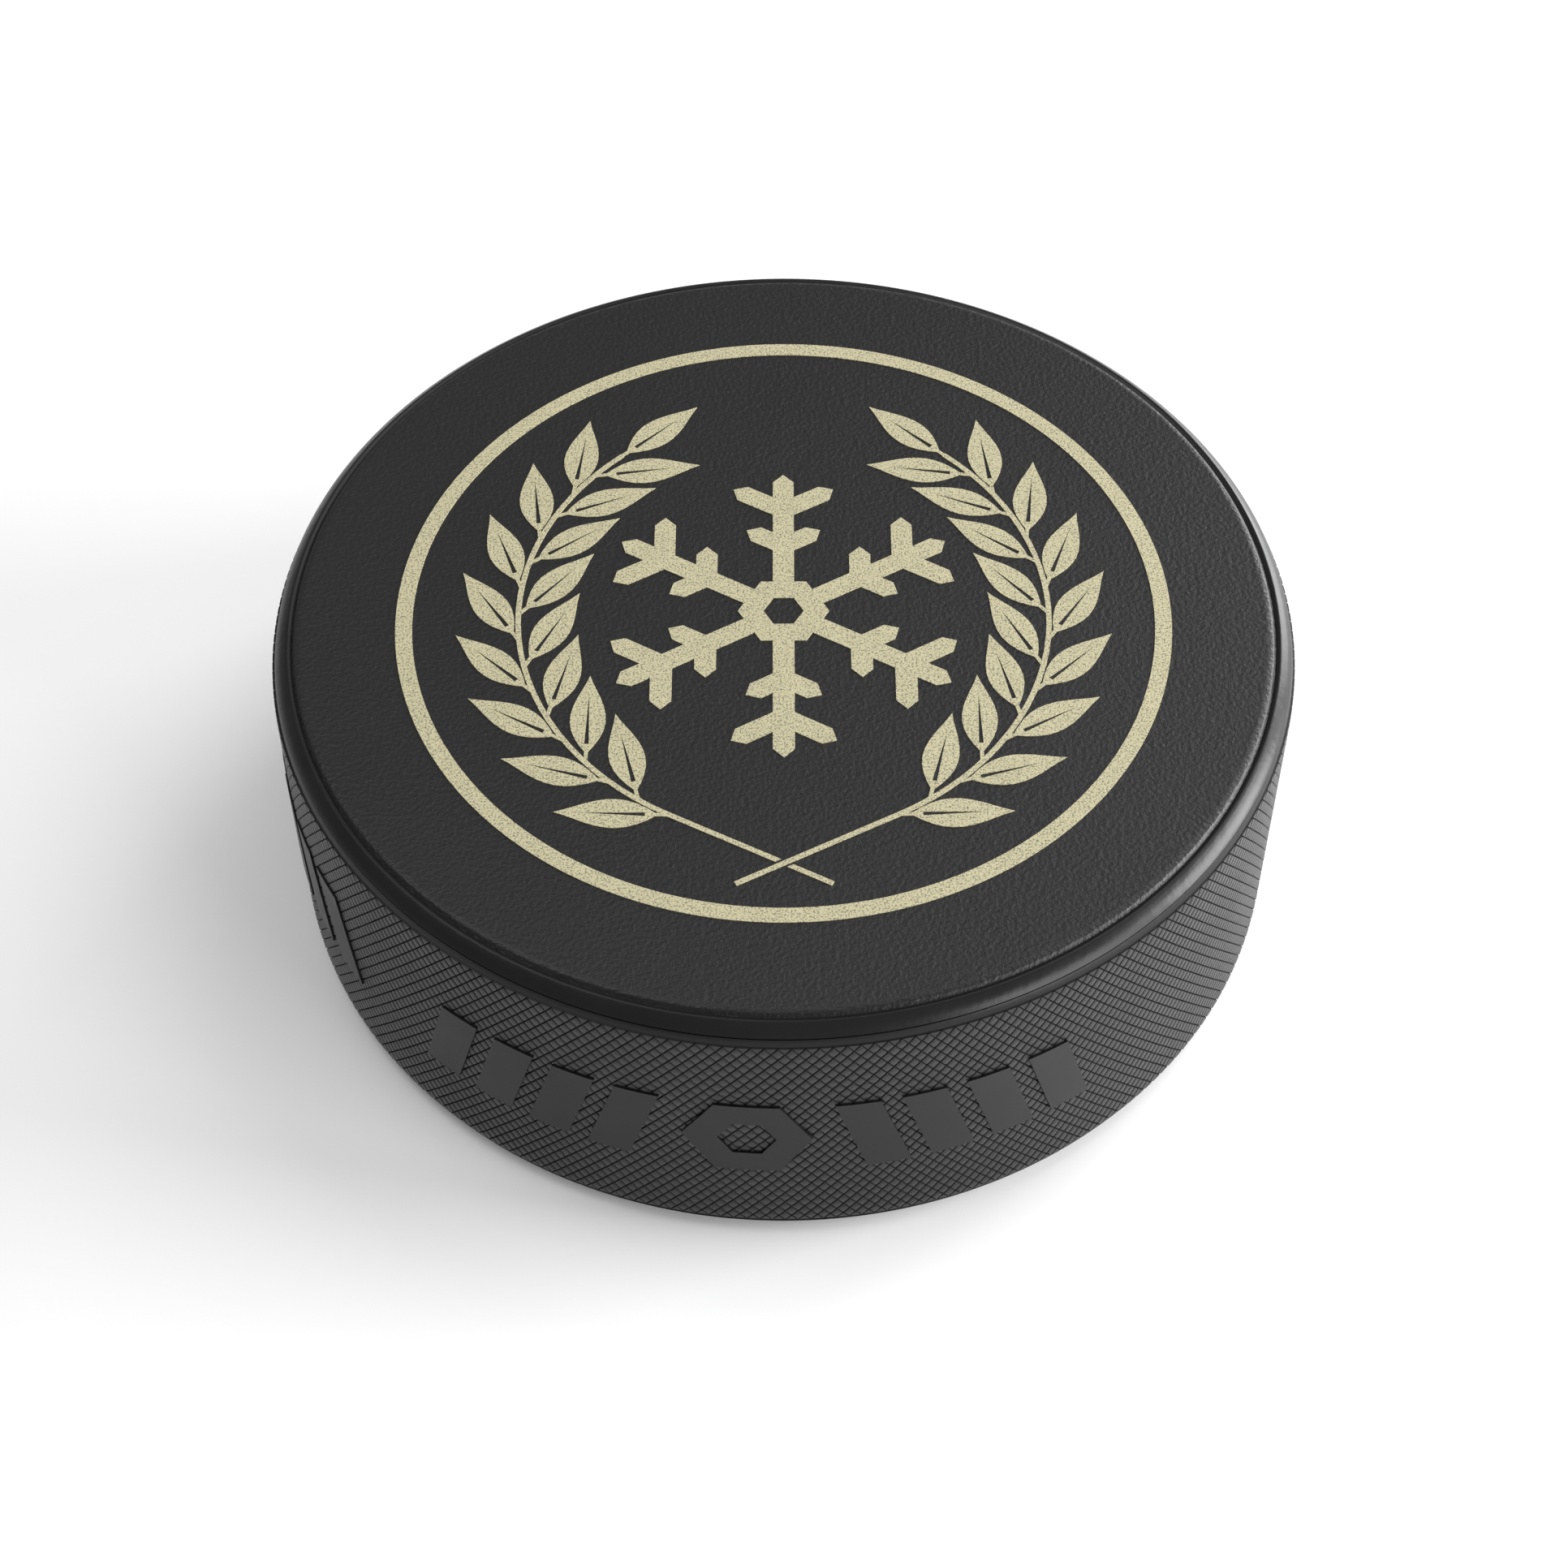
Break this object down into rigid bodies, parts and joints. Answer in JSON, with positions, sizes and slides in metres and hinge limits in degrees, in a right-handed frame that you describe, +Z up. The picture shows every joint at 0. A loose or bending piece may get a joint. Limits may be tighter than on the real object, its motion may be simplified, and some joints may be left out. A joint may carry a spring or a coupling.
{
  "type": "ice hockey puck",
  "caption": "Round black rubber ice hockey puck with rounded shoulders, raised side marks and a printed ring, leafy branches and snowflake.",
  "frame": {"origin": "centre of the flat face that the puck lies on", "axes": "+Z up along the disc's axis, -Y towards the front, from where the picture on the upper face reads upright"},
  "size_m": [0.0763, 0.0764, 0.0255],
  "materials": {
    "rubber": "matt moulded rubber",
    "ink": "matt screen-printed ink"
  },
  "bodies": {
    "root": {"puck_body": "rubber", "print_ring": "ink", "print_branch_left": "ink", "print_branch_right": "ink", "print_snowflake": "ink"}
  },
  "joints": []
}
